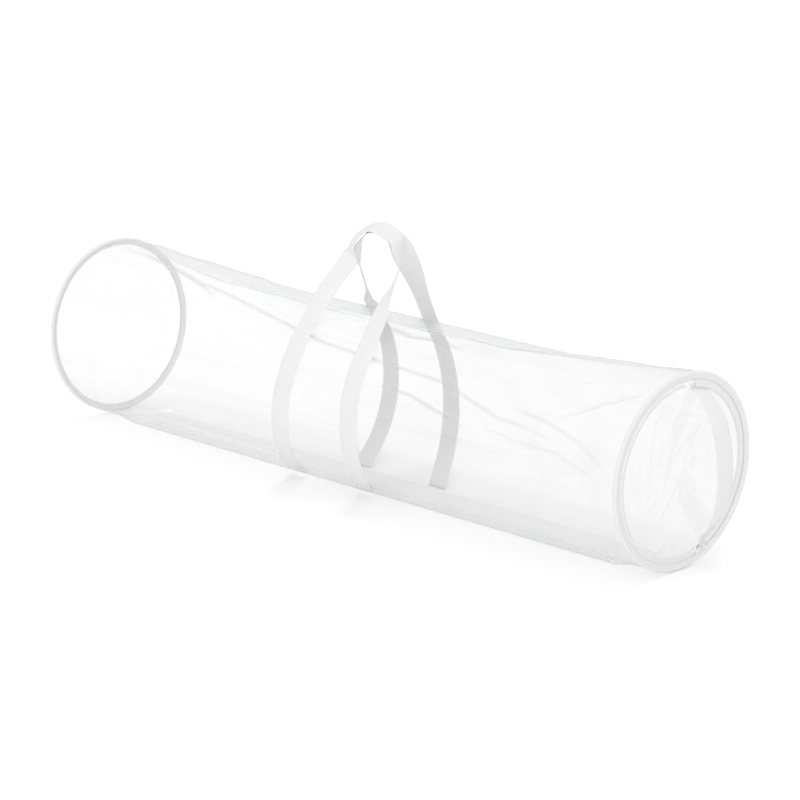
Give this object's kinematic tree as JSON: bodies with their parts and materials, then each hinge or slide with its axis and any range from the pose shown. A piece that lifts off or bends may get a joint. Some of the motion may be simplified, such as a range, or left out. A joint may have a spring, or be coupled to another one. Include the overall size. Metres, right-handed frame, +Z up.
{
  "type": "gift wrap organizer",
  "caption": "Clear film tube bag for gift wrap rolls, with sprung hoops, a zipped end flap, two webbing carry handles and a webbing end handle.",
  "frame": {"origin": "on the floor, below the middle of the tube's axis", "axes": "+X along the tube towards the zipped end, -Y to the front, +Z up"},
  "size_m": [1.071, 0.2474, 0.343],
  "materials": {
    "clear_vinyl": "clear, glossy, with soft creases",
    "white_webbing": "woven, matt",
    "white_piping": "woven binding, matt",
    "white_zip_tape": "woven, matt",
    "white_zip_teeth": "satin",
    "painted_slider": "white enamel",
    "spring_steel": "drawn wire"
  },
  "bodies": {
    "bag": {"tube_film": "clear_vinyl", "left_piping": "white_piping", "left_hoop": "spring_steel", "left_hoop_ferrule": "spring_steel", "left_end_film": "clear_vinyl", "right_piping": "white_piping", "right_hoop": "spring_steel", "right_hoop_ferrule": "spring_steel", "segment_film": "clear_vinyl", "segment_binding": "white_zip_tape", "zip_tape_tube_side": "white_zip_tape", "zip_teeth_tube_side": "white_zip_teeth", "zip_top_stop": "painted_slider", "zip_bottom_stop": "painted_slider", "front_left_leg": "white_webbing", "front_right_leg": "white_webbing", "rear_left_leg": "white_webbing", "rear_right_leg": "white_webbing", "end_handle_upper_tab": "white_webbing", "end_handle_lower_tab": "white_webbing"},
    "front_handle": {"front_handle": "white_webbing"},
    "rear_handle": {"rear_handle": "white_webbing"},
    "end_flap": {"end_flap_film": "clear_vinyl", "zip_tape_flap_side": "white_zip_tape", "zip_teeth_flap_side": "white_zip_teeth"},
    "zip_slider": {"zip_slider": "painted_slider"},
    "zip_pull": {"zip_pull": "painted_slider"},
    "end_handle": {"end_handle": "white_webbing"}
  },
  "joints": [
    {"name": "front_handle_swing", "type": "hinge", "parent": "bag", "child": "front_handle", "pos_m": [0.015, -0.09691, 0.20048], "axis": [1, 0, 0], "range_deg": [0, 165]},
    {"name": "rear_handle_swing", "type": "hinge", "parent": "bag", "child": "rear_handle", "pos_m": [-0.0505, 0.09691, 0.20048], "axis": [-1, 0, 0], "range_deg": [0, 165]},
    {"name": "end_flap_fold", "type": "hinge", "parent": "bag", "child": "end_flap", "pos_m": [0.5148, 0.02105, 0.12522], "axis": [0.0293, -0.152, 0.988], "range_deg": [0, 85]},
    {"name": "zip_slider_travel", "type": "hinge", "parent": "bag", "child": "zip_slider", "pos_m": [0.5143, 0, 0.122], "axis": [-0.9996, 0, 0.0297], "range_deg": [0, 205]},
    {"name": "zip_pull_swing", "type": "hinge", "parent": "zip_slider", "child": "zip_pull", "pos_m": [0.51439, 0.03942, 0.02065], "axis": [0.0276, -0.3626, 0.9315], "range_deg": [0, 180]},
    {"name": "end_handle_sway", "type": "hinge", "parent": "bag", "child": "end_handle", "pos_m": [0.51587, 0.03647, 0.12756], "axis": [0.0293, -0.152, 0.988], "range_deg": [0, 18]}
  ]
}
